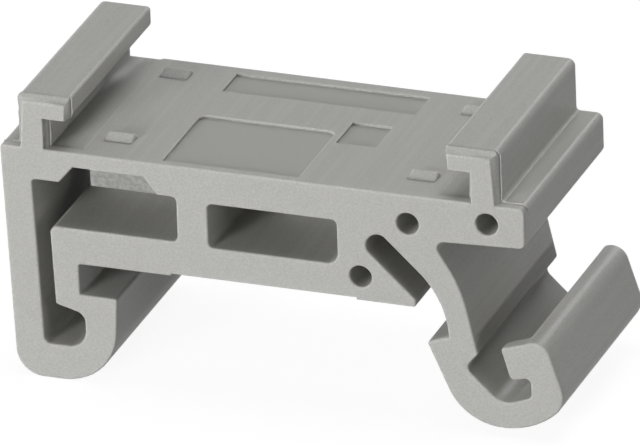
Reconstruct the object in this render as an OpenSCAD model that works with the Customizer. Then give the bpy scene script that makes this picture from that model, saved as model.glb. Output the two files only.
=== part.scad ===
// Clip-on adapter that carries a small terminal block between two claws.
// One moulding: plate with two claws on top, fixed hook at the left,
// sprung foot with latch nose and release lever at the right.
// X runs from the hook to the foot, Y from front to back, Z up. The origin lies in the middle
// of the clip's span, on the seat plane under the bearing pads, at mid-depth of the moulding.

/* [Clip fit] */
// Span of the clip, from its edge in the hook's groove to its edge at the foot
clip_span = 15; // [14.5:0.1:15.5]
// Thickness that the clip grips, below the seat plane
grip_thick = 1; // [0.8:0.05:1.2]
// Room between the seat plane and the bearing pads above it
pad_play = 0.25; // [0.1:0.01:0.3]
// Room between the gripped thickness and the fixed hook below it
hook_play = 0.06; // [0:0.01:0.15]

/* [Body] */
// Depth of the moulding from front to back
depth = 9.4; // [8:0.1:14]
// Height of the plate's top above the seat plane
plate_top = 5; // [4.84:0.02:5.6]
// Thickness of the web at mid-depth, between the front and back pockets
web = 0.9; // [0.6:0.05:2]
// Length of the bearing pad beside the fixed hook
hook_pad = 3.85; // [3:0.05:5]
// Length of the bearing pad beside the sprung foot
foot_pad = 2.45; // [2:0.05:3]
// Distance from the span's edge to the end of the foot's pad
pad_inset = 1.08; // [0.9:0.02:1.3]
// Set-back of the underside between the two pads
pad_step = 0.09; // [0.05:0.01:0.2]
// Round of the pads' outer ends
pad_round = 0.12; // [0.05:0.01:0.16]

/* [Block seat] */
// Clear width between the stems of the two claws
seat_width = 17.3; // [17:0.05:17.8]
// Height from the plate to the underside of the claws
seat_height = 1.28; // [1:0.02:1.6]
// Thickness of a claw's stem
claw_stem = 1.23; // [1:0.05:1.5]
// Length of a claw's nose, beyond its stem
claw_nose = 0.93; // [0.6:0.02:1.2]
// Thickness of a claw's nose
claw_top = 0.9; // [0.7:0.02:1.2]
// Round on the outer shoulder of a claw
claw_shoulder = 0.3; // [0.15:0.05:0.6]
// Round over the tip of a claw's nose
claw_tip_round = 0.15; // [0.05:0.05:0.3]
// Round under the tip of a claw's nose
claw_lip_round = 0.25; // [0.1:0.05:0.4]
// Round in the corner between a claw's nose and stem
claw_inner_round = 0.12; // [0.05:0.01:0.3]
// Height of the lead-in bevel on top of a claw's front end
lead_top = 0.26; // [0.1:0.01:0.3]
// Width of the lead-in bevels on the sides of a claw's front end
lead_side = 0.17; // [0.1:0.01:0.2]
// Length of the lead-in bevels from front to back
lead_length = 0.45; // [0.3:0.05:0.8]
// Ledge of the plate outside the claw over the fixed hook
hook_ledge = 0.72; // [0.5:0.02:1]
// Ledge of the plate outside the claw over the sprung foot
foot_ledge = 1.08; // [0.8:0.02:1.4]
// Fillet between a ledge and the claw's stem
ledge_fillet = 0.15; // [0.05:0.05:0.3]
// Width of the relief groove beside each stem
relief_width = 1.4; // [1.2:0.05:1.8]
// Depth of the relief groove
relief_depth = 0.06; // [0.04:0.01:0.1]
// Length of a raised pip from side to side
pip_length = 1.2; // [0.8:0.05:1.5]
// Width of a raised pip from front to back
pip_width = 0.8; // [0.5:0.05:1.2]
// Height of a raised pip
pip_height = 0.2; // [0.1:0.02:0.4]
// Distance from a claw's stem to the middle of a pip
pip_inset = 2.4; // [2.2:0.05:3]
// Distance from the front face to the middle of a front pip
pip_front = 1.75; // [1.2:0.05:2.5]
// Distance from the back face to the middle of a back pip
pip_back = 1.45; // [1.2:0.05:2.5]

/* [Label fields] */
// Depth of the label fields in the plate's top
label_depth = 0.12; // [0.06:0.02:0.2]
// Length of the back field
back_field_length = 8; // [6:0.1:9]
// Width of the back field
back_field_width = 1.7; // [1.2:0.05:2]
// Distance from the back face to the back field
back_field_edge = 0.6; // [0.4:0.05:0.8]
// Length of the front field
front_field_length = 5.6; // [4.5:0.1:6]
// Width of the front field
front_field_width = 4.4; // [3.5:0.05:4.8]
// Distance from the front face to the front field
front_field_edge = 0.4; // [0.3:0.05:0.6]
// Round of the front field's back corners
front_field_round = 0.4; // [0.1:0.05:0.8]
// Length of the side field
side_field_length = 1.65; // [1:0.05:2]
// Width of the side field
side_field_width = 1.95; // [1.4:0.05:2.4]
// Gap between the front field and the side field
field_gap = 0.3; // [0.2:0.05:0.6]

/* [Fixed hook] */
// Thickness of the outer leg
leg_wall = 1.22; // [1:0.02:1.4]
// Inward lean of the leg, from the plate to the hook's bottom
leg_lean = 0.4; // [0:0.02:0.6]
// Width of the slit that makes the leg springy
slit_width = 0.6; // [0.4:0.02:0.7]
// Depth of the hook's bottom below the seat plane
hook_drop = 4.8; // [4.5:0.02:5.2]
// Length of the hook, inwards from the span's edge
hook_nose = 1.55; // [1.3:0.05:1.8]
// Slant of the hook's end, from its top to its bottom
hook_slant = 0.2; // [0:0.02:0.4]
// Round of the hook's bottom on the nose side
hook_nose_round = 2.3; // [1.8:0.05:2.5]
// Round of the hook's bottom on the leg side
hook_leg_round = 1.12; // [0.8:0.02:1.4]
// Round of the hook's nose at the top
hook_tip_round = 0.14; // [0.05:0.01:0.2]
// Fillet in the inner corners of the hook's groove
groove_fillet = 0.1; // [0.05:0.01:0.15]
// Thickness of the hook over its chamber
hook_roof = 0.52; // [0.4:0.02:0.64]
// Fall of the chamber's roof towards the nose
roof_fall = 0.32; // [0.1:0.02:0.4]
// Thickness of the hook under its chamber
hook_floor = 1.46; // [1.26:0.02:1.66]
// Thickness of the hook at the nose side of its chamber
hook_ring = 1.37; // [1.2:0.02:1.5]
// Round of the chamber's top on the nose side
chamber_top_round = 0.45; // [0.2:0.05:0.5]
// Round of the chamber's bottom on the nose side
chamber_low_round = 0.72; // [0.4:0.02:0.8]
// Round of the chamber's bottom on the leg side
chamber_leg_round = 0.3; // [0.1:0.05:0.5]
// Round where the slit enters the chamber
chamber_lip_round = 0.15; // [0.05:0.05:0.25]

/* [Pockets] */
// Thickness of the plate over the hook's pocket
pocket_roof = 1.34; // [1.16:0.02:1.56]
// Thickness of the bar under the hook's pocket
pocket_floor = 1.5; // [1.26:0.02:1.66]
// Length of the hook's pocket, inwards from the span's edge
pocket_length = 4.15; // [3.9:0.05:4.5]
// Thickness of the plate over the notch in that pocket's ceiling
notch_roof = 0.63; // [0.53:0.01:0.83]
// Outer end of the notch, outwards from the span's edge
notch_outer = 0.1; // [0:0.02:0.2]
// Inner end of the notch, inwards from the span's edge
notch_inner = 0.6; // [0.4:0.02:0.8]
// Run of the slant at the notch's outer end
notch_slant = 0.6; // [0.4:0.02:0.7]
// Length of the gate scoop beside the notch
scoop_length = 2.2; // [1.8:0.05:2.4]
// Tilt of the gate scoop's face from the front
scoop_tilt = 26; // [10:1:30]
// Round of the beam's upper corner beside the slit
beam_round = 0.3; // [0.05:0.05:0.4]
// Round of the pockets' corners
pocket_round = 0.22; // [0.05:0.01:0.3]
// Thickness of the rib between the two pockets
rib = 1.28; // [1:0.02:1.6]
// Thickness of the plate over the middle pocket
middle_roof = 1.46; // [1.26:0.02:1.66]
// Thickness of the bar under the middle pocket
middle_floor = 1.42; // [1.26:0.02:1.66]
// Distance from the span's edge to the middle pocket
middle_inset = 4.25; // [4.1:0.05:5]
// Round of the middle pocket's lower corner at the foot's side
middle_low_round = 0.45; // [0.1:0.05:0.6]
// Diameter of the three core holes
core_hole = 0.9; // [0.6:0.05:1]
// Inset of the upper core hole from the span's edge
upper_hole_inset = 1.33; // [1.2:0.02:1.5]
// Depth of the upper core hole below the plate's top
upper_hole_depth = 1.22; // [1.06:0.02:1.36]
// Inset of the lower core hole from the span's edge
lower_hole_inset = 3.32; // [3.1:0.02:3.5]
// Height of the lower core hole above the bearing pads
lower_hole_height = 1.02; // [0.86:0.02:1.16]
// Reach of the end block's core hole beyond the span's edge
end_hole_reach = 1.92; // [1.6:0.02:2.2]
// Depth of the end block's core hole below the plate's top
end_hole_depth = 0.83; // [0.74:0.01:0.94]

/* [Sprung foot] */
// Width of the slanted slot that frees the foot
slot_width = 0.96; // [0.82:0.02:1.02]
// Angle of the slot below the level
slot_angle = 43.5; // [41.5:0.5:45.5]
// Inset of the slot's inner end from the span's edge
slot_inset = 2.57; // [2.4:0.02:2.7]
// Height of the slot's inner end above the seat plane
slot_height = 2.64; // [2.52:0.02:2.74]
// Round of the slot's inner end
slot_round = 0.43; // [0.31:0.01:0.47]
// Thickness of the end block
end_wall = 1.69; // [1.59:0.01:1.79]
// Draft of the end block's underside
end_draft = 0.16; // [0:0.01:0.21]
// Round of the end block's outer corners
end_round = 0.27; // [0.1:0.01:0.35]
// Inset of the gap under the end block from the span's edge
gap_inset = 0.37; // [0.2:0.01:0.45]
// Round of the gap's inner end
gap_round = 0.3; // [0.15:0.05:0.4]
// Reach of the bend on the foot's inner side, beyond the span's edge
bend_reach = 0.1; // [0:0.02:0.15]
// Radius of the bend on the foot's inner side
bend_round = 3.8; // [2.5:0.1:3.9]
// Reach of the bend on the foot's outer side, beyond the span's edge
knee_reach = 0.79; // [0.7:0.01:0.9]
// Height of the bend on the foot's outer side
knee_height = 1.35; // [1.05:0.05:1.55]
// Radius of the bend on the foot's outer side
knee_round = 6; // [3:0.1:7]
// Reach of the latch nose, inwards from the span's edge
latch_reach = 0.68; // [0.5:0.02:0.9]
// Drop of the latch nose's tip below the gripped thickness
latch_drop = 0.14; // [0.1:0.02:0.3]
// Rise of the latch nose's root into the gripped thickness
latch_rise = 0.14; // [0.05:0.01:0.2]
// Reach of the latch nose's root beyond the span's edge
latch_root = 0.23; // [0.2:0.01:0.3]
// Round of the latch nose's tip
latch_round = 0.13; // [0.05:0.01:0.18]
// Depth of the foot's sole below the seat plane
foot_drop = 4.44; // [4.2:0.02:4.72]
// Start of the sole, beyond the span's edge
sole_start = 0.79; // [0.7:0.01:0.9]
// Round of the sole under the latch nose
sole_latch_round = 2.35; // [1.8:0.05:2.4]
// End of the sole, beyond the span's edge
sole_end = 3.55; // [3.4:0.01:3.8]
// Round of the sole under the release lever
sole_lever_round = 3.2; // [2:0.1:3.3]

/* [Release lever] */
// Reach of the lever's lower outer corner beyond the span's edge
lever_reach = 5.01; // [4.9:0.01:5.2]
// Depth of that corner below the seat plane
lever_low = 3.17; // [3.05:0.01:3.35]
// Round of that corner
lever_low_round = 1; // [0.6:0.05:1.2]
// Reach of the lever's upper outer corner beyond the span's edge
lever_head = 4.14; // [4:0.01:4.3]
// Depth of that corner below the seat plane
lever_high = 0.48; // [0.32:0.02:0.64]
// Round of that corner
lever_head_round = 0.66; // [0.4:0.02:0.8]
// Reach of the lever wall's upper inner edge beyond the span's edge
lever_wall_reach = 3.3; // [3.2:0.01:3.4]
// Round of the lever wall's upper inner edge
lever_wall_round = 0.22; // [0.1:0.01:0.25]
// Reach of the lip's upper edge beyond the span's edge
lip_reach = 2.34; // [2.2:0.01:2.5]
// Depth of the lip's upper edge below the seat plane
lip_high = 1.04; // [0.9:0.01:1.2]
// Reach of the lip's lower edge beyond the span's edge
lip_low_reach = 2.73; // [2.6:0.01:2.9]
// Depth of the lip's lower edge below the seat plane
lip_low = 2.36; // [2.21:0.01:2.46]
// Round of the lip's lower edge
lip_round = 0.22; // [0.1:0.01:0.3]
// Depth of the lip from front to back
lip_depth = 0.65; // [0.5:0.05:1.5]
// Round of the lip's back corner
lip_corner = 0.55; // [0.2:0.05:0.6]
// Fillet between the lip's back and the lever's wall
lip_fillet = 0.6; // [0.2:0.05:0.65]
// Reach of the keyhole's closed end beyond the span's edge
keyhole_reach = 3.55; // [3.45:0.01:3.65]
// Depth of the keyhole's roof at its closed end
keyhole_roof = 2.17; // [2.08:0.01:2.24]
// Depth of the keyhole's floor at its closed end
keyhole_end_low = 3.01; // [2.94:0.01:3.09]
// Round of the keyhole's closed end
keyhole_end_round = 0.22; // [0.1:0.01:0.3]
// Reach of the keyhole's lowest point beyond the span's edge
keyhole_low_reach = 2.35; // [2.2:0.01:2.5]
// Depth of the keyhole's lowest point below the seat plane
keyhole_low = 3.46; // [3.36:0.01:3.52]
// Round of the keyhole's lowest stretch
keyhole_low_round = 0.9; // [0.5:0.05:1]
// Reach of the keyhole's mouth beyond the span's edge
throat_reach = 0.89; // [0.8:0.01:1]
// Depth of the keyhole's mouth below the seat plane
throat_low = 2.05; // [1.95:0.01:2.15]
// Round of the keyhole's mouth
throat_round = 0.3; // [0.2:0.05:0.6]
// Reach of the ridge over the keyhole's mouth beyond the span's edge
ridge_reach = 1.41; // [1.35:0.01:1.5]
// Depth of the ridge over the keyhole's mouth below the seat plane
ridge_low = 1.43; // [1.27:0.02:1.57]
// Round of the ridge and of the lip's upper edge
ridge_round = 0.15; // [0.05:0.01:0.2]

/* [Hidden] */
$fn = 64;
body_color = [0.71, 0.71, 0.69];

// Overlap of a cut past the face that it opens
cut_over = 1;
// Sink of an added piece into the body that carries it
add_sink = 0.3;
// Sink of the lip into the lever's wall
lip_sink = 0.05;
// Overlap of the lead-in bevels past the claws' faces
lead_over = 0.5;
// Overlap of the gate scoop into the pocket below it and the notch beside it
scoop_over = 0.1;
// Overlap of a corner's sliver past the edges that it joins
sliver_over = 0.05;
// Excess of a corner's circle, so that its arc crosses the edges at a clear angle
round_over = 1.0015;
// Share of an edge that the rounds at its two ends may take up
round_share = 0.98;

span_left = -clip_span / 2;
span_right = clip_span / 2;
front = -depth / 2;
back = depth / 2;
stem_in = seat_width / 2;
stem_out = stem_in + claw_stem;
nose_tip = stem_in - claw_nose;
nose_under = plate_top + seat_height;
claw_height = nose_under + claw_top;
plate_left = -stem_out - hook_ledge;
plate_right = stem_out + foot_ledge;
underside = pad_play + pad_step;
hook_top = -grip_thick - hook_play;
hook_end = span_left + hook_nose;
chamber_roof = hook_top - hook_roof;
chamber_low = hook_floor - hook_drop;
chamber_right = hook_end - hook_ring;
ceiling = plate_top - pocket_roof;
notch_ceiling = plate_top - notch_roof;
ledge_floor = pad_play + pocket_floor;
pocket_right = span_left + pocket_length;
notch_right = span_left + notch_inner;
end_under = plate_top - end_wall;
slot_x = span_right - slot_inset;
pocket_depth = (depth - web) / 2;

// Outer side of the leg and both sides of the slit at a given height
function leg_side(z) = plate_left + leg_lean * (plate_top - z) / (plate_top + hook_drop);
function slit_outer(z) = leg_side(z) + leg_wall;
function slit_inner(z) = slit_outer(z) + slit_width;

// Height of the slot's upper (side = 1) or lower (side = -1) edge at a given place
function slot_edge(x, side) =
    slot_height + side * slot_width / 2 / cos(slot_angle) - (x - slot_x) * tan(slot_angle);

// Corner of the slot's square end before it is rounded
function slot_corner(side) =
    [slot_x, slot_height]
    + slot_width / 2 * [side * sin(slot_angle) - cos(slot_angle), side * cos(slot_angle) + sin(slot_angle)];

// Height of the lever's top at a given distance out from the span's edge
function lever_top(out) =
    -lip_high + (lip_high - lever_high) * (out - lip_reach) / (lever_head - lip_reach);

// Corners are [x, z, radius] and run clockwise, so a left turn is an inner corner
function corner(list, i) = list[(i + len(list)) % len(list)];
function place(list, i) = [corner(list, i)[0], corner(list, i)[1]];
function edge(list, i) = place(list, i + 1) - place(list, i);
function unit(v) = v / norm(v);
function half_turn(list, i) = acos(unit(edge(list, i - 1)) * unit(edge(list, i))) / 2;
function reach(list, i) = corner(list, i)[2] * tan(half_turn(list, i));
function share(list, i) = min(1, round_share * norm(edge(list, i)) / (reach(list, i) + reach(list, i + 1)));
function fitted_round(list, i) = corner(list, i)[2] * min(share(list, i - 1), share(list, i));
function turns_left(list, i) = cross(edge(list, i - 1), edge(list, i)) > 0;

// Sliver between a sharp corner and the arc that rounds it, widened a little past both edges
module corner_sliver(list, i) {
    to_last = -unit(edge(list, i - 1));
    to_next = unit(edge(list, i));
    radius = fitted_round(list, i);
    run = radius * tan(half_turn(list, i));
    tip = place(list, i);
    middle = tip + unit(to_last + to_next) * radius / cos(half_turn(list, i));
    wide = 1 + sliver_over / radius;
    translate(middle)
        difference() {
            polygon([for (p = [middle, tip + to_last * run, tip, tip + to_next * run]) (p - middle) * wide]);
            circle(radius * round_over);
        }
}

module corner_slivers(list, inner) {
    for (i = [0:len(list) - 1])
        if (corner(list, i)[2] > 0 && turns_left(list, i) == inner)
            corner_sliver(list, i);
}

// Closed outline with an arc at each corner that has a radius
module rounded_outline(list) {
    difference() {
        union() {
            polygon([for (i = [0:len(list) - 1]) place(list, i)]);
            corner_slivers(list, inner = true);
        }
        corner_slivers(list, inner = false);
    }
}

// Outline in the X-Z plane, drawn out from front to back
module through_depth(from, to) {
    translate([0, to, 0])
        rotate([90, 0, 0])
            linear_extrude(to - from)
                children();
}

// Claws and plate, from the left ledge to the end block
function top_corners() = [
    [plate_left, plate_top, ledge_fillet],
    [-stem_out, plate_top, ledge_fillet],
    [-stem_out, claw_height, claw_shoulder],
    [-nose_tip, claw_height, claw_tip_round],
    [-nose_tip, nose_under, claw_lip_round],
    [-stem_in, nose_under, claw_inner_round],
    [-stem_in, plate_top, 0],
    [stem_in, plate_top, 0],
    [stem_in, nose_under, claw_inner_round],
    [nose_tip, nose_under, claw_lip_round],
    [nose_tip, claw_height, claw_tip_round],
    [stem_out, claw_height, claw_shoulder],
    [stem_out, plate_top, ledge_fillet],
    [plate_right, plate_top, end_round],
    [plate_right, end_under, end_round],
];

// Outer side of the sprung foot, keyhole and release lever without its lip
function lever_corners() = [
    [span_right - gap_inset, end_under - end_draft, gap_round],
    [span_right + knee_reach, knee_height, knee_round],
    [span_right + ridge_reach, -ridge_low, ridge_round],
    [span_right + throat_reach, -throat_low, throat_round],
    [span_right + keyhole_low_reach, -keyhole_low, keyhole_low_round],
    [span_right + keyhole_reach, -keyhole_end_low, keyhole_end_round],
    [span_right + keyhole_reach, -keyhole_roof, 0],
    [span_right + lever_wall_reach, lever_top(lever_wall_reach), lever_wall_round],
    [span_right + lever_head, -lever_high, lever_head_round],
    [span_right + lever_reach, -lever_low, lever_low_round],
];

// Sole, latch nose, slanted slot and the pad at its end
function foot_corners() = [
    [span_right + sole_end, -foot_drop, sole_lever_round],
    [span_right + sole_start, -foot_drop, sole_latch_round],
    [span_right - latch_reach, -grip_thick - latch_drop, latch_round],
    [span_right + latch_root, latch_rise - grip_thick, 0],
    [span_right + bend_reach, slot_edge(span_right + bend_reach, 1), bend_round],
    concat(slot_corner(1), slot_round),
    concat(slot_corner(-1), slot_round),
    [span_right - pad_inset, slot_edge(span_right - pad_inset, -1), pad_round],
    [span_right - pad_inset, pad_play, pad_round],
];

// Underside between the pads, groove and fixed hook
function hook_corners() = [
    [span_right - pad_inset - foot_pad, pad_play, 0],
    [span_right - pad_inset - foot_pad, underside, 0],
    [span_left + hook_pad, underside, 0],
    [span_left + hook_pad, pad_play, 0],
    [span_left, pad_play, groove_fillet],
    [span_left, hook_top, groove_fillet],
    [hook_end, hook_top, hook_tip_round],
    [hook_end - hook_slant, -hook_drop, hook_nose_round],
    [leg_side(-hook_drop), -hook_drop, hook_leg_round],
];

module side_profile() {
    rounded_outline(concat(top_corners(), lever_corners(), foot_corners(), hook_corners()));
}

// Lip at the top of the lever's wall, with the fillet under it at the keyhole's closed end
module lip_profile() {
    root = (lever_wall_reach + lever_head) / 2;
    fall = (lip_low - keyhole_roof) / (keyhole_reach - lip_low_reach);
    rounded_outline([
        [span_right + lip_reach, -lip_high, ridge_round],
        [span_right + root, lever_top(root) - lip_sink, 0],
        [span_right + root, -keyhole_roof + fall * (root - keyhole_reach), 0],
        [span_right + lip_low_reach, -lip_low, lip_round],
    ]);
    corner_sliver([
        [span_right + keyhole_reach, -keyhole_end_low, 0],
        [span_right + keyhole_reach, -keyhole_roof, keyhole_end_round],
        [span_right + lip_low_reach, -lip_low, 0],
    ], 1);
}

// The lip seen from above: it ends in a curve a little behind the front face
module lip_plan() {
    tip = span_right + lip_reach;
    wall = span_right + keyhole_reach + lip_sink;
    far = span_right + lever_reach;
    end = front + lip_depth;
    rounded_outline([
        [tip, front - cut_over, 0],
        [tip, end, lip_corner],
        [wall, end, lip_fillet],
        [wall, back, 0],
        [far, back, 0],
        [far, front - cut_over, 0],
    ]);
}

module lever_lip() {
    intersection() {
        through_depth(front, front + lip_depth + lip_fillet + lip_sink)
            lip_profile();
        translate([0, 0, -keyhole_low])
            linear_extrude(keyhole_low)
                lip_plan();
    }
}

// Slit beside the leg and the chamber in the hook, open from front to back
module hook_slit() {
    rounded_outline([
        [slit_outer(ceiling), ceiling, chamber_lip_round],
        [slit_inner(ceiling), ceiling, 0],
        [slit_inner(chamber_roof), chamber_roof, chamber_lip_round],
        [chamber_right, chamber_roof - roof_fall, chamber_top_round],
        [chamber_right, chamber_low, chamber_low_round],
        [slit_outer(chamber_low), chamber_low, chamber_leg_round],
    ]);
}

// Pocket between the slit and the rib, with a notch in its ceiling
module hook_pocket() {
    rounded_outline([
        [slit_outer(ceiling) + slit_width / 2, ceiling, 0],
        [span_left - notch_outer - notch_slant, ceiling, 0],
        [span_left - notch_outer, notch_ceiling, 0],
        [notch_right, notch_ceiling, 0],
        [notch_right, ceiling, 0],
        [pocket_right, ceiling, pocket_round],
        [pocket_right, ledge_floor, pocket_round],
        [slit_outer(ledge_floor) + slit_width / 2, ledge_floor, 0],
    ]);
}

// Sliver off the beam's upper corner, where the pocket meets the slit
module beam_corner() {
    corner_sliver([
        [slit_inner(pad_play), pad_play, 0],
        [slit_inner(ledge_floor), ledge_floor, beam_round],
        [pocket_right, ledge_floor, 0],
    ], 1);
}

// Gate scoop in the front face, level with the face at its top and deepest at the pocket's ceiling
module gate_scoop() {
    translate([0, front, notch_ceiling])
        rotate([scoop_tilt, 0, 0])
            translate([0, 0, -notch_ceiling])
                through_depth(-cut_over, 0)
                    polygon([
                        [notch_right - scoop_over, ceiling - scoop_over],
                        [notch_right - scoop_over, notch_ceiling - scoop_over],
                        [notch_right, notch_ceiling],
                        [notch_right + scoop_length, notch_ceiling],
                        [notch_right + scoop_length + notch_slant, ceiling - scoop_over],
                    ]);
}

module middle_pocket() {
    left = pocket_right + rib;
    right = span_right - middle_inset;
    roof = plate_top - middle_roof;
    low = pad_play + middle_floor;
    rounded_outline([
        [left, roof, pocket_round],
        [right, roof, pocket_round],
        [right, low, middle_low_round],
        [left, low, pocket_round],
    ]);
}

module core_holes() {
    places = [
        [span_right - upper_hole_inset, plate_top - upper_hole_depth],
        [span_right - lower_hole_inset, pad_play + lower_hole_height],
        [span_right + end_hole_reach, plate_top - end_hole_depth],
    ];
    for (p = places)
        translate(p)
            circle(d = core_hole);
}

// Pockets and holes that stop at the web, from the front and from the back
module blind_cuts() {
    for (from = [front - cut_over, back - pocket_depth])
        through_depth(from, from + pocket_depth + cut_over) {
            hook_pocket();
            beam_corner();
            middle_pocket();
            core_holes();
        }
}

// Wedge off the front end of an upright wall whose face lies at x = 0, with the wall at x < 0
module side_wedge(low, high) {
    translate([0, front, low])
        linear_extrude(high - low)
            polygon([[-lead_side, 0], [0, lead_length], [lead_over, lead_length], [lead_over, 0]]);
}

// Bevels around the front end of the right claw: outer side, stem, nose and top
module claw_bevels() {
    translate([stem_out, 0, 0])
        side_wedge(plate_top, claw_height + lead_over);
    translate([stem_in, 0, 0])
        mirror([1, 0, 0])
            side_wedge(plate_top, nose_under);
    translate([nose_tip, 0, 0])
        mirror([1, 0, 0])
            side_wedge(nose_under - lead_over, claw_height + lead_over);
    translate([nose_tip - lead_over, front, claw_height])
        rotate([90, 0, 90])
            linear_extrude(claw_nose + claw_stem + 2 * lead_over)
                polygon([[0, -lead_top], [lead_length, 0], [lead_length, lead_over], [0, lead_over]]);
}

module relief_grooves() {
    for (side = [0, 1])
        mirror([side, 0, 0])
            translate([stem_in - relief_width, front + lead_length, plate_top - relief_depth])
                cube([relief_width, depth, seat_height / 2]);
}

module pips() {
    for (side = [-1, 1], middle = [front + pip_front, back - pip_back])
        translate([side * (stem_in - pip_inset), middle, plate_top - add_sink])
            linear_extrude(pip_height + add_sink)
                square([pip_length, pip_width], center = true);
}

// Bare shallow fields for labels in the plate's top
module label_fields() {
    left = -back_field_length / 2;
    front_field_back = front + front_field_edge + front_field_width;
    side_field_left = left + front_field_length + field_gap;
    translate([0, 0, plate_top - label_depth])
        linear_extrude(label_depth + cut_over) {
            translate([left, back - back_field_edge - back_field_width])
                square([back_field_length, back_field_width]);
            rounded_outline([
                [left, front_field_back, front_field_round],
                [left + front_field_length, front_field_back, front_field_round],
                [left + front_field_length, front + front_field_edge, 0],
                [left, front + front_field_edge, 0],
            ]);
            translate([side_field_left, front_field_back - side_field_width / 2])
                square([side_field_length, side_field_width]);
        }
}

module adapter() {
    color(body_color) union() {
        difference() {
            through_depth(front, back)
                side_profile();
            through_depth(front - cut_over, back + cut_over)
                hook_slit();
            blind_cuts();
            gate_scoop();
            for (side = [0, 1])
                mirror([side, 0, 0])
                    claw_bevels();
            relief_grooves();
            label_fields();
        }
        lever_lip();
        pips();
    }
}

adapter();
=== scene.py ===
import math

import bmesh
import bpy
from mathutils import Matrix, Vector, noise
from mathutils.geometry import delaunay_2d_cdt


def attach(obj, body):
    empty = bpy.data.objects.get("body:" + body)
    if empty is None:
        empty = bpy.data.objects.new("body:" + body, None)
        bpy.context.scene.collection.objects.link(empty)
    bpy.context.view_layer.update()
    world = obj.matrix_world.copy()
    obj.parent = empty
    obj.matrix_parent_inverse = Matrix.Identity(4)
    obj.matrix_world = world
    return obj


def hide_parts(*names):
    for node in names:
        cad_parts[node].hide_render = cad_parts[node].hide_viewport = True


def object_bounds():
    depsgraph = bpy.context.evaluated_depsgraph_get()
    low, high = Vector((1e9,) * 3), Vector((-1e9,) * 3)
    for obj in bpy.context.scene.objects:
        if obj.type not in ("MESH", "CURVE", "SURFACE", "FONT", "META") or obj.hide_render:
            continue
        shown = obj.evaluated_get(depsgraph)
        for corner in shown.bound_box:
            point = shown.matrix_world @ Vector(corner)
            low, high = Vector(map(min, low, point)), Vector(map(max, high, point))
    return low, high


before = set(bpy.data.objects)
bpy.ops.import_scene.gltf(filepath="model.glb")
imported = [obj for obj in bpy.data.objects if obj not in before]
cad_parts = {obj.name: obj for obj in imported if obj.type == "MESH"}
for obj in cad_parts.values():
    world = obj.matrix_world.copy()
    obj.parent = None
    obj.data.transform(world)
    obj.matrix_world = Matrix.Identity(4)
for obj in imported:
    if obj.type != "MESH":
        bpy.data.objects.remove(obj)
cad_low, cad_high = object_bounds()

MM = 0.001

# Camera: a long lens without shift, fitted to measured places of the part
VIEW_AZIMUTH = math.radians(20.7040)
VIEW_ELEVATION = math.radians(25.0136)
VIEW_ROLL = math.radians(1.8587)
VIEW_DISTANCE = 691.511 * MM
VIEW_TARGET = Vector((0.8137, 0.0, 1.0381)) * MM
SENSOR = 36.0
LENS = 1000.0
CLIP_NEAR, CLIP_FAR = 0.01, 10.0

# Rounds on the rims of both ends and of the label fields
RIM_ROUND = 0.09 * MM
RIM_STEPS = 6
FIELD_ROUND = 0.035 * MM
FIELD_STEPS = 3
MITRE_LIMIT = 0.3
INSET_PASSES = 3

# Joining the flat faces, and telling sharp edges from the seams of arcs
SHORT_EDGE = 0.03 * MM
FLAT_ANGLE = math.radians(0.5)
SHARP_ANGLE = math.radians(15)
SMOOTH_ANGLE = math.radians(50)
ARC_FACET = 0.13 * MM
NORMAL_WEIGHT = 90
TINY = 1e-7

# Filling the ends: the triangulation's full output, and the merging of its close points
ALL_TRIANGLES = 0
CAP_MERGE = 0.003 * MM

# Heights on the plate and reach of its details, for picking their edges
PLATE_TOP = 5.0 * MM
PIP_HEIGHT = 0.2 * MM
LABEL_DEPTH = 0.12 * MM
SEAT_HALF = 8.6 * MM

# Pips: ramps that rise to the back, with rounded ends
PIP_CREST = 0.82
PIP_CURVE = 1.2
PIP_END = 0.16 * MM
PIP_SINK = 0.02 * MM
PIP_COLUMNS, PIP_ROWS = 40, 20

# Back rims: they grow rounder from below the plate up to the claws
BACK_ROUND = 0.15 * MM
BACK_LOW = PLATE_TOP - 0.5 * MM
BACK_HIGH = PLATE_TOP + 0.8 * MM

# Relief grooves: inner end, and width of the slope that leads into them
GROOVE_END = 7.25 * MM
GROOVE_SLOPE = 0.15 * MM

# Gate scoop: a shallow recess with a ripped surface, made from the plain one's slanted face; its
# colour is darkened as painted shade
SCOOP_TILT = math.radians(26)
SCOOP_DEPTH = 0.12 * MM
SCOOP_WALL = 0.02 * MM

# Outer lead-ins of the claws: reach from the front, inner limit and how far the top draws in
EASE_DEPTH = 0.45 * MM
EASE_LIMIT = 9.3 * MM
EASE_RUN = 0.22 * MM

# Flash: a thin uneven seam around the claws, at the back end of their bevels
FLASH_DEPTH = 0.46 * MM
FLASH_HEIGHT = 0.075 * MM
FLASH_MEAN, FLASH_SWING = 0.6, 0.4
FLASH_WIDTH = 0.09 * MM
FLASH_SINK = 0.03 * MM
FLASH_STEP = 0.12 * MM
FLASH_GRAIN = 0.35 * MM
FLASH_LOW = PLATE_TOP - 0.3 * MM

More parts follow.
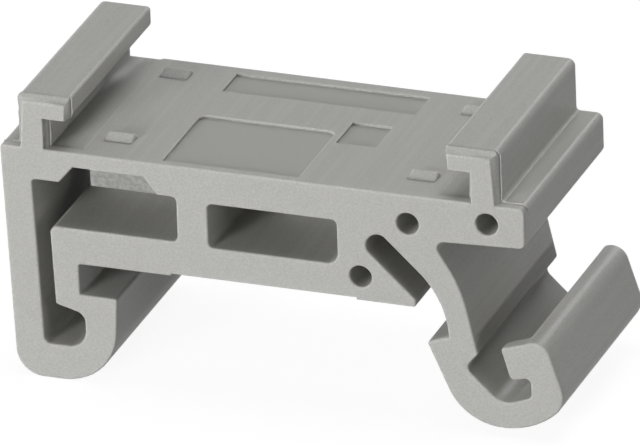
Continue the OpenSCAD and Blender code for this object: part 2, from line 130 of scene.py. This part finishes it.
# Plastic: colours are linear, a stop is a place on a colour ramp, and scales are per metre
SPECKLE_SCALE, SPECKLE_DETAIL = 14000.0, 1.0
SPECKLE_STOPS = (
    (0.33, (0.407, 0.405, 0.386, 1.0)),
    (0.5, (0.442, 0.44, 0.42, 1.0)),
    (0.67, (0.477, 0.475, 0.454, 1.0)))
STREAK_COLOUR = (0.475, 0.475, 0.452, 1.0)
STREAK_SCALE, STREAK_DETAIL = (3500.0, 90.0, 3500.0), 2.0
STREAK_FROM, STREAK_TO = 0.45, 0.75
FIELD_COLOUR = (0.405, 0.408, 0.384, 1.0)
FIELD_SPREAD = LABEL_DEPTH / 10
GATE_SCALE, GATE_DETAIL = 6500.0, 3.0
# Gate scoop colours: the mottle of the ripped surface, set far darker than the body as painted
# shade
GATE_MOTTLE_AND_SHADE_STOPS = ((0.38, (0.27, 0.27, 0.26, 1.0)), (0.7, (0.37, 0.37, 0.355, 1.0)))
GATE_SPREAD = SCOOP_DEPTH / 10
ROUGH_FROM, ROUGH_TO = 0.38, 0.5
GRAIN_SCALE, GRAIN_DETAIL = 9000.0, 2.0
GRAIN_STRENGTH, GRAIN_HEIGHT = 0.35, 0.012 * MM
SPECULAR = 0.25
SCATTER_SHARE, SCATTER_DEPTH = 0.7, 0.3 * MM
SCATTER_RADIUS = (1.0, 1.0, 1.0)

# Sockets of a colour mix node, which has others of the same name
MIX_COLOUR_A, MIX_COLOUR_B, MIX_RESULT = 6, 7, 2

# Lamps: where each comes from, distance, width and height, power, and if it shows in reflections
LAMPS = {
    "key": (Vector((-0.339, -0.933, 0.115)), 0.30, (0.10, 0.10), 0.97, False),
    "top": (Vector((0.05, 0.10, 1.0)), 0.30, (0.20, 0.20), 0.28, True),
    "fill": (Vector((0.97, -0.20, 0.05)), 0.60, (0.30, 0.05), 0.54, True),
    "back": (Vector((0.10, 0.85, 0.50)), 0.30, (0.08, 0.08), 0.18, True),
}

# Surroundings and floor
WHITE = (1.0, 1.0, 1.0, 1.0)
WORLD_LIGHT, WORLD_SEEN = 0.13, 1.0
FLOOR_COLOUR = (0.15, 0.15, 0.15, 1.0)
FLOOR_GLOW = 0.92
FLOOR_HALF = 1.5
FLOOR_GAP = 0.002 * MM


def facet_width(face, edge):
    """Width of a facet across one of its edges."""
    return face.calc_area() / max(edge.calc_length(), TINY)


def is_arc_seam(edge):
    """True for the seam between two narrow facets of one small arc."""
    if edge.calc_face_angle() > SMOOTH_ANGLE:
        return False
    return all(facet_width(f, edge) < ARC_FACET for f in edge.link_faces)


def mark_sharp_edges(bm):
    """Smooth shading, broken at all edges but the seams of arcs."""
    for face in bm.faces:
        face.smooth = True
    for edge in bm.edges:
        edge.smooth = edge.calc_face_angle() < SHARP_ANGLE or is_arc_seam(edge)


def all_geometry(bm):
    return bm.verts[:] + bm.edges[:] + bm.faces[:]


def take_pips(bm):
    """Flatten the plain pips into the plate, and return the limits of their plans."""
    plans = {}
    for vert in bm.verts:
        on_pip = abs(vert.co.z - PLATE_TOP - PIP_HEIGHT) < TINY
        if on_pip and abs(vert.co.x) < SEAT_HALF:
            corner = (vert.co.x > 0.0, vert.co.y > 0.0)
            plans.setdefault(corner, []).append(vert.co.copy())
            vert.co.z = PLATE_TOP
    limits = []
    for plan in plans.values():
        across, along = [p.x for p in plan], [p.y for p in plan]
        limits.append((min(across), max(across), min(along), max(along)))
    return limits


def pip_height(along, across, length):
    """Height at a distance from a pip's left end and a share of its width from the front."""
    if across < PIP_CREST:
        ramp = (across / PIP_CREST) ** PIP_CURVE
    else:
        fall = (across - PIP_CREST) / (1.0 - PIP_CREST)
        ramp = math.sqrt(max(0.0, 1.0 - fall ** 2))
    short = max(0.0, 1.0 - min(along, length - along) / PIP_END)
    return PIP_HEIGHT * ramp * math.sqrt(max(0.0, 1.0 - short ** 2))


def add_pip(bm, plan):
    """A soft ramp on a pip's plan, closed below and sunk into the plate."""
    left, right, front, back = plan
    grid = []
    for row in range(PIP_ROWS + 1):
        across = row / PIP_ROWS
        y = front + (back - front) * across
        line = []
        for column in range(PIP_COLUMNS + 1):
            along = (right - left) * column / PIP_COLUMNS
            z = PLATE_TOP - PIP_SINK + pip_height(along, across, right - left)
            line.append(bm.verts.new((left + along, y, z)))
        grid.append(line)
    for low, high in zip(grid, grid[1:]):
        for i in range(PIP_COLUMNS):
            bm.faces.new((low[i], low[i + 1], high[i + 1], high[i])).smooth = True
    right_side = [line[-1] for line in grid[1:]]
    left_side = [line[0] for line in grid[-2:0:-1]]
    rim = grid[0] + right_side + grid[-1][-2::-1] + left_side
    bm.faces.new(rim[::-1])


def slope_grooves(bm):
    """Draw the inner ends of the relief grooves out into slopes."""
    for vert in bm.verts:
        at_end = abs(abs(vert.co.x) - GROOVE_END) < TINY
        if at_end and 0.0 < PLATE_TOP - vert.co.z - TINY < PIP_HEIGHT:
            vert.co.x += math.copysign(GROOVE_SLOPE, vert.co.x)


def flatten_scoop(bm):
    """Turn the slanted face of the gate scoop into a floor parallel to the front."""
    slant = Vector((0.0, -math.cos(SCOOP_TILT), -math.sin(SCOOP_TILT)))
    face = max(bm.faces, key=lambda f: f.normal.dot(slant))
    top = max(v.co.z for v in face.verts)
    cut = bmesh.ops.bisect_plane(
        bm, geom=[face] + face.edges[:] + face.verts[:], dist=TINY,
        plane_co=(0.0, 0.0, top - SCOOP_WALL), plane_no=(0.0, 0.0, 1.0))["geom_cut"]
    wall = next(g for g in cut if isinstance(g, bmesh.types.BMEdge))
    floor = min(wall.link_faces, key=lambda f: f.calc_center_median().z)
    for vert in floor.verts:
        vert.co.y = cad_low.y + SCOOP_DEPTH
    bm.normal_update()


def ease_claws(bm):
    """Draw the front ends of the claws' outer walls in, more so towards the top."""
    bmesh.ops.bisect_plane(
        bm, geom=all_geometry(bm), dist=TINY,
        plane_co=(0.0, cad_low.y + EASE_DEPTH, 0.0), plane_no=(0.0, 1.0, 0.0))
    for vert in bm.verts:
        at_front = vert.co.y < cad_low.y + TINY
        if at_front and abs(vert.co.x) > EASE_LIMIT and vert.co.z > PLATE_TOP + TINY:
            rise = (vert.co.z - PLATE_TOP) / (cad_high.z - PLATE_TOP)
            vert.co.x -= math.copysign(EASE_RUN * rise, vert.co.x)
    bm.normal_update()


def round_fields(bm):
    """Rounds on the rims of the label fields."""
    rims = []
    for edge in bm.edges:
        a, b = (v.co for v in edge.verts)
        if edge.smooth or not edge.is_convex or max(abs(a.x), abs(b.x)) > SEAT_HALF:
            continue
        on_plate = max(abs(a.z - PLATE_TOP), abs(b.z - PLATE_TOP)) < TINY
        if on_plate and abs(a.y) < cad_high.y - TINY:
            rims.append(edge)
    bmesh.ops.bevel(
        bm, geom=rims, offset=FIELD_ROUND, offset_type="OFFSET", segments=FIELD_STEPS,
        profile=0.5, affect="EDGES", clamp_overlap=True)


def outline_loops(edges):
    """Closed loops of vertices along a set of edges, in the same order each run."""
    left = dict.fromkeys(edges)
    loops = []
    while left:
        edge = next(iter(left))
        del left[edge]
        start, vert = edge.verts
        loop = [start]
        while vert is not start:
            loop.append(vert)
            edge = next(e for e in vert.link_edges if e in left)
            del left[edge]
            vert = edge.other_vert(vert)
        loops.append(loop)
    return loops


def wall_normal(a, b):
    """Outward direction, in the X-Z plane, of the wall at a boundary edge."""
    edge = next(e for e in a.link_edges if e.other_vert(a) is b)
    along = (b.co - a.co).normalized()
    normal = edge.link_faces[0].normal.copy()
    normal.y = 0.0
    normal -= along * normal.dot(along)
    return normal.normalized()


def mitre(before, after):
    """Offset of a corner for a unit offset of the two walls that meet there."""
    return (before + after) / max(1.0 + before.dot(after), MITRE_LIMIT)


def rim_radius(point, side):
    """Radius of an end's rim at a point of its outline."""
    share = (point.z - BACK_LOW) / (BACK_HIGH - BACK_LOW)
    return RIM_ROUND + (BACK_ROUND - RIM_ROUND) * min(max(share, 0.0), 1.0) * (side > 0)


def inset_outline(base, shift, insets):
    """Outline moved inwards, where a stretch too short for it shrinks to a point."""
    points = [b - s * inset for b, s, inset in zip(base, shift, insets)]
    count = len(points)
    for _ in range(INSET_PASSES):
        for i in range(count):
            j = (i + 1) % count
            if (points[j] - points[i]).dot(base[j] - base[i]) < 0.0:
                points[i] = (points[i] + points[j]) / 2
                points[j] = points[i].copy()
    return points


def is_inside(point, sides):
    """True inside an outline with holes, by the count of sides to the right of the point."""
    hits = 0
    for a, b in sides:
        if (a.y > point.y) != (b.y > point.y):
            hits += point.x < a.x + (b.x - a.x) * (point.y - a.y) / (b.y - a.y)
    return hits % 2 == 1


def round_rim(bm, loop, side, end):
    """Rings of faces from one loop of an open end up to its flat, and the last ring."""
    count = len(loop)
    normals = [wall_normal(loop[i], loop[(i + 1) % count]) for i in range(count)]
    shift = [mitre(normals[i - 1], normals[i]) for i in range(count)]
    base = [v.co.copy() for v in loop]
    radii = [rim_radius(point, side) for point in base]
    for step in range(1, RIM_STEPS + 1):
        turn = math.pi / 2 * step / RIM_STEPS
        outline = inset_outline(base, shift, [r * (1.0 - math.cos(turn)) for r in radii])
        ring = [
            bm.verts.new((point.x, end - side * radius * (1.0 - math.sin(turn)), point.z))
            for point, radius in zip(outline, radii)]
        for i in range(count):
            j = (i + 1) % count
            bm.faces.new((loop[i], loop[j], ring[j], ring[i])).smooth = True
        loop = ring
    return loop


def fill_end(bm, rings, end):
    """Flat end between the rings, with its pockets and holes left open."""
    cap_points, cap_edges, cap_verts = [], [], []
    for ring in rings:
        first, count = len(cap_points), len(ring)
        cap_points += [Vector((v.co.x, v.co.z)) for v in ring]
        cap_verts += ring
        cap_edges += [(first + i, first + (i + 1) % count) for i in range(count)]
    points, _, faces, origin, _, _ = delaunay_2d_cdt(
        cap_points, cap_edges, [], ALL_TRIANGLES, TINY)
    verts = [
        cap_verts[o[0]] if o else bm.verts.new((p.x, end, p.y))
        for p, o in zip(points, origin)]
    sides = [(cap_points[a], cap_points[b]) for a, b in cap_edges]
    for face in faces:
        middle = sum((points[i] for i in face), Vector((0.0, 0.0))) / len(face)
        if is_inside(middle, sides):
            bm.faces.new([verts[i] for i in face]).smooth = True
    bmesh.ops.remove_doubles(bm, verts=list(dict.fromkeys(cap_verts + verts)), dist=CAP_MERGE)


def round_end(bm, side):
    """Replace the flat end of the moulding by one whose rims are rounded."""
    end = cad_high.y if side > 0 else cad_low.y
    reach = BACK_ROUND if side > 0 else RIM_ROUND
    bmesh.ops.bisect_plane(
        bm, geom=all_geometry(bm), dist=TINY, plane_co=(0.0, end - side * reach, 0.0),
        plane_no=(0.0, side, 0.0), clear_outer=True)
    rim = [v for e in bm.edges if e.is_boundary for v in e.verts]
    bmesh.ops.remove_doubles(bm, verts=list(dict.fromkeys(rim)), dist=SHORT_EDGE / 2)
    loops = outline_loops([e for e in bm.edges if e.is_boundary])
    fill_end(bm, [round_rim(bm, loop, side, end) for loop in loops], end)
    flat = [v for v in bm.verts if abs(v.co.y - end) < TINY]
    bmesh.ops.dissolve_limit(
        bm, angle_limit=FLAT_ANGLE, verts=flat,
        edges=list(dict.fromkeys(e for v in flat for e in v.link_edges)))
    bmesh.ops.remove_doubles(bm, verts=bm.verts, dist=TINY)


def section_outline(bm, depth):
    """Outer outline of the moulding at a depth, as points in X and Z, anticlockwise."""
    cut = bm.copy()
    found = bmesh.ops.bisect_plane(
        cut, geom=all_geometry(cut), dist=TINY,
        plane_co=(0.0, depth, 0.0), plane_no=(0.0, 1.0, 0.0))["geom_cut"]
    loops = outline_loops([g for g in found if isinstance(g, bmesh.types.BMEdge)])
    outer = max(loops, key=lambda loop: max(v.co.z for v in loop))
    points = [Vector((v.co.x, v.co.z)) for v in outer]
    cut.free()
    area = sum(a.x * b.y - b.x * a.y for a, b in zip(points, points[1:] + points[:1]))
    return points if area > 0.0 else points[::-1]


def with_steps(points, step):
    """Closed outline with more points, none further apart than a step."""
    dense = []
    for a, b in zip(points, points[1:] + points[:1]):
        parts = max(1, math.ceil((b - a).length / step))
        dense += [a.lerp(b, i / parts) for i in range(parts)]
    return dense


def claw_runs(points):
    """Stretches of an outline around the claws, each with its outward directions."""
    runs, run = [], []
    start = next(i for i, p in enumerate(points) if p.y < FLASH_LOW)
    points = points[start:] + points[:start]
    for before, point, after in zip(points[-1:] + points, points, points[1:] + points[:1]):
        if point.y > FLASH_LOW and abs(point.x) > GROOVE_END:
            along = (after - point).normalized() + (point - before).normalized()
            run.append((point, Vector((along.y, -along.x)).normalized()))
        elif run:
            runs.append(run)
            run = []
    return runs + [run] if run else runs


def flash_height(point, out):
    """Uneven height of the flash, held inside the moulding's box."""
    grain = noise.noise(Vector((point.x, point.y, 0.0)) / FLASH_GRAIN)
    height = FLASH_HEIGHT * (FLASH_MEAN + FLASH_SWING * grain)
    for place, way, low, high in (
            (point.x, out.x, cad_low.x, cad_high.x), (point.y, out.y, cad_low.z, cad_high.z)):
        if abs(way) > TINY:
            room = (high - place) / way if way > 0.0 else (low - place) / way
            height = min(height, room - FLASH_SINK / 2)
    return height


def add_flash(bm, runs):
    """Thin ridges along the runs, each a closed strip that is sunk into the wall."""
    depth = cad_low.y + FLASH_DEPTH
    for run in runs:
        rows = []
        for point, out in run:
            foot, crest = point - out * FLASH_SINK, point + out * flash_height(point, out)
            rows.append([
                bm.verts.new((foot.x, depth - FLASH_WIDTH / 2, foot.y)),
                bm.verts.new((crest.x, depth, crest.y)),
                bm.verts.new((foot.x, depth + FLASH_WIDTH / 2, foot.y))])
        bm.faces.new(rows[0])
        bm.faces.new(rows[-1][::-1])
        for one, two in zip(rows, rows[1:]):
            for i in range(3):
                j = (i + 1) % 3
                bm.faces.new((one[i], two[i], two[j], one[j]))


def moulding_mesh(node):
    """Copy of a node's mesh with its flat faces joined, its rims rounded and its trim added."""
    mesh = bpy.data.meshes.new("adapter_moulding")
    bm = bmesh.new()
    bm.from_mesh(node.data)
    plans = take_pips(bm)
    slope_grooves(bm)
    bmesh.ops.remove_doubles(bm, verts=bm.verts, dist=SHORT_EDGE)
    bmesh.ops.dissolve_limit(bm, angle_limit=FLAT_ANGLE, verts=bm.verts, edges=bm.edges)
    flatten_scoop(bm)
    ease_claws(bm)
    mark_sharp_edges(bm)
    round_fields(bm)
    outline = section_outline(bm, cad_low.y + FLASH_DEPTH)
    for side in (-1, 1):
        round_end(bm, side)
    add_flash(bm, claw_runs(with_steps(outline, FLASH_STEP)))
    for plan in plans:
        add_pip(bm, plan)
    bmesh.ops.recalc_face_normals(bm, faces=bm.faces)
    bm.to_mesh(mesh)
    bm.free()
    return mesh


def make_moulding():
    body = bpy.data.objects.new("adapter_moulding", moulding_mesh(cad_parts["adapter"]))
    bpy.context.scene.collection.objects.link(body)
    flat = body.modifiers.new("flat faces", "WEIGHTED_NORMAL")
    flat.mode = "FACE_AREA"
    flat.weight = NORMAL_WEIGHT
    flat.keep_sharp = True
    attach(body, "root")
    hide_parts("adapter")
    return body


def add_noise(tree, place, scale, detail):
    node = tree.nodes.new("ShaderNodeTexNoise")
    node.inputs["Scale"].default_value = scale
    node.inputs["Detail"].default_value = detail
    tree.links.new(place, node.inputs["Vector"])
    return node.outputs["Fac"]


def add_math(tree, operation, *terms, clamp=False):
    """A math node's output, with each term a socket to link or a number to set."""
    node = tree.nodes.new("ShaderNodeMath")
    node.operation = operation
    node.use_clamp = clamp
    for socket, term in zip(node.inputs, terms):
        if isinstance(term, float):
            socket.default_value = term
        else:
            tree.links.new(term, socket)
    return node.outputs[0]


def add_range(tree, value, **limits):
    """A map range node's output, with the limits that differ from 0 and 1."""
    node = tree.nodes.new("ShaderNodeMapRange")
    for name, limit in limits.items():
        node.inputs[name.replace("_", " ").title()].default_value = limit
    tree.links.new(value, node.inputs["Value"])
    return node.outputs["Result"]


def add_ramp(tree, value, stops):
    node = tree.nodes.new("ShaderNodeValToRGB")
    elements = node.color_ramp.elements
    for position, _ in stops[1:-1]:
        elements.new(position)
    for element, (position, colour) in zip(elements, stops):
        element.position = position
        element.color = colour
    tree.links.new(value, node.inputs["Fac"])
    return node.outputs["Color"]


def add_mix(tree, share, under, over):
    """A colour mix node's output, with the upper colour a socket to link or a plain one."""
    node = tree.nodes.new("ShaderNodeMix")
    node.data_type = "RGBA"
    tree.links.new(share, node.inputs["Factor"])
    tree.links.new(under, node.inputs[MIX_COLOUR_A])
    if isinstance(over, tuple):
        node.inputs[MIX_COLOUR_B].default_value = over
    else:
        tree.links.new(over, node.inputs[MIX_COLOUR_B])
    return node.outputs[MIX_RESULT]


def split_vector(tree, vector):
    node = tree.nodes.new("ShaderNodeSeparateXYZ")
    tree.links.new(vector, node.inputs["Vector"])
    return node.outputs


def new_material(name):
    mat = bpy.data.materials.new(name)
    mat.use_nodes = True
    return mat, mat.node_tree, mat.node_tree.nodes["Principled BSDF"]


def plastic():
    """Matt moulded polyamide: speckled, streaked along Y, with a gate scoop whose ripped surface is
    mottled and painted darker as shade, and fine grain.
    """
    mat, tree, shader = new_material("moulded_polyamide")
    coords = tree.nodes.new("ShaderNodeTexCoord")
    place = coords.outputs["Object"]
    at, facing = split_vector(tree, place), split_vector(tree, coords.outputs["Normal"])
    end_on = add_math(tree, "ABSOLUTE", facing["Y"])

    speckle = add_noise(tree, place, SPECKLE_SCALE, SPECKLE_DETAIL)
    colour = add_ramp(tree, speckle, SPECKLE_STOPS)

    drawn = tree.nodes.new("ShaderNodeMapping")
    drawn.inputs["Scale"].default_value = STREAK_SCALE
    tree.links.new(place, drawn.inputs["Vector"])
    streak = add_noise(tree, drawn.outputs["Vector"], 1.0, STREAK_DETAIL)
    thin = add_range(tree, streak, from_min=STREAK_FROM, from_max=STREAK_TO)
    colour = add_mix(
        tree, add_math(tree, "SUBTRACT", thin, end_on, clamp=True), colour, STREAK_COLOUR)

    in_field = add_math(tree, "COMPARE", at["Z"], PLATE_TOP - LABEL_DEPTH, FIELD_SPREAD)
    colour = add_mix(
        tree, add_math(tree, "MULTIPLY", in_field, facing["Z"], clamp=True), colour, FIELD_COLOUR)

    # Gate scoop: mottle of the ripped surface, darkened as painted shade in the recess
    in_scoop = add_math(tree, "COMPARE", at["Y"], cad_low.y + SCOOP_DEPTH, GATE_SPREAD)
    gate_mottle_and_shade = add_ramp(tree, add_noise(tree, place, GATE_SCALE, GATE_DETAIL), GATE_MOTTLE_AND_SHADE_STOPS)
    colour = add_mix(tree, add_math(tree, "MULTIPLY", in_scoop, end_on), colour, gate_mottle_and_shade)
    tree.links.new(colour, shader.inputs["Base Color"])

    rough = add_range(tree, speckle, to_min=ROUGH_FROM, to_max=ROUGH_TO)
    tree.links.new(rough, shader.inputs["Roughness"])

    bump = tree.nodes.new("ShaderNodeBump")
    bump.inputs["Strength"].default_value = GRAIN_STRENGTH
    bump.inputs["Distance"].default_value = GRAIN_HEIGHT
    tree.links.new(add_noise(tree, place, GRAIN_SCALE, GRAIN_DETAIL), bump.inputs["Height"])
    tree.links.new(bump.outputs["Normal"], shader.inputs["Normal"])

    shader.inputs["Specular IOR Level"].default_value = SPECULAR
    shader.inputs["Subsurface Weight"].default_value = SCATTER_SHARE
    shader.inputs["Subsurface Radius"].default_value = SCATTER_RADIUS
    shader.inputs["Subsurface Scale"].default_value = SCATTER_DEPTH
    return mat


def seen_directly(tree):
    """1 for rays that should meet plain white: from the camera, reflected or let through."""
    path = tree.nodes.new("ShaderNodeLightPath").outputs
    first = add_math(tree, "MAXIMUM", path["Is Camera Ray"], path["Is Glossy Ray"])
    return add_math(tree, "MAXIMUM", first, path["Is Transmission Ray"])


def make_world():
    world = bpy.data.worlds.new("studio")
    bpy.context.scene.world = world
    world.use_nodes = True
    tree = world.node_tree
    sky = tree.nodes["Background"]
    sky.inputs["Color"].default_value = WHITE
    strength = add_range(tree, seen_directly(tree), to_min=WORLD_LIGHT, to_max=WORLD_SEEN)
    tree.links.new(strength, sky.inputs["Strength"])


def make_floor():
    mat, tree, shader = new_material("pale_floor")
    shader.inputs["Base Color"].default_value = FLOOR_COLOUR
    shader.inputs["Roughness"].default_value = 1.0
    shader.inputs["Specular IOR Level"].default_value = 0.0
    shader.inputs["Emission Color"].default_value = WHITE
    glow = add_math(tree, "MULTIPLY", seen_directly(tree), FLOOR_GLOW)
    tree.links.new(glow, shader.inputs["Emission Strength"])

    level = cad_low.z - FLOOR_GAP
    corners = [
        (x * FLOOR_HALF, y * FLOOR_HALF, level) for x, y in ((-1, -1), (1, -1), (1, 1), (-1, 1))]
    mesh = bpy.data.meshes.new("floor")
    mesh.from_pydata(corners, [], [(0, 1, 2, 3)])
    floor = bpy.data.objects.new("floor", mesh)
    bpy.context.scene.collection.objects.link(floor)
    floor.data.materials.append(mat)


def make_lamp(name, source, distance, size, power, mirrored):
    light = bpy.data.lights.new(name, "AREA")
    light.shape = "ELLIPSE"
    light.size, light.size_y = size
    light.energy = power
    lamp = bpy.data.objects.new(name, light)
    lamp.visible_glossy = mirrored
    bpy.context.scene.collection.objects.link(lamp)
    lamp.location = source.normalized() * distance
    lamp.rotation_euler = (-source).to_track_quat("-Z", "Y").to_euler()


def make_camera():
    data = bpy.data.cameras.new("camera")
    data.sensor_width = SENSOR
    data.lens = LENS
    data.clip_start, data.clip_end = CLIP_NEAR, CLIP_FAR
    cam = bpy.data.objects.new("camera", data)
    bpy.context.scene.collection.objects.link(cam)
    ca, sa = math.cos(VIEW_AZIMUTH), math.sin(VIEW_AZIMUTH)
    ce, se = math.cos(VIEW_ELEVATION), math.sin(VIEW_ELEVATION)
    back = Vector((sa * ce, -ca * ce, se))
    right = Vector((ca, sa, 0.0))
    up = back.cross(right)
    turn = Matrix.Rotation(-VIEW_ROLL, 3, back)
    right, up = turn @ right, turn @ up
    rows = Matrix((right, up, back)).transposed()
    cam.matrix_world = Matrix.Translation(VIEW_TARGET + back * VIEW_DISTANCE) @ rows.to_4x4()
    bpy.context.scene.camera = cam


moulding = make_moulding()
moulding.data.materials.append(plastic())
make_world()
make_floor()
for name, setting in LAMPS.items():
    make_lamp(name, *setting)
make_camera()
bpy.context.scene.view_settings.view_transform = "Standard"

bpy.context.view_layer.update()
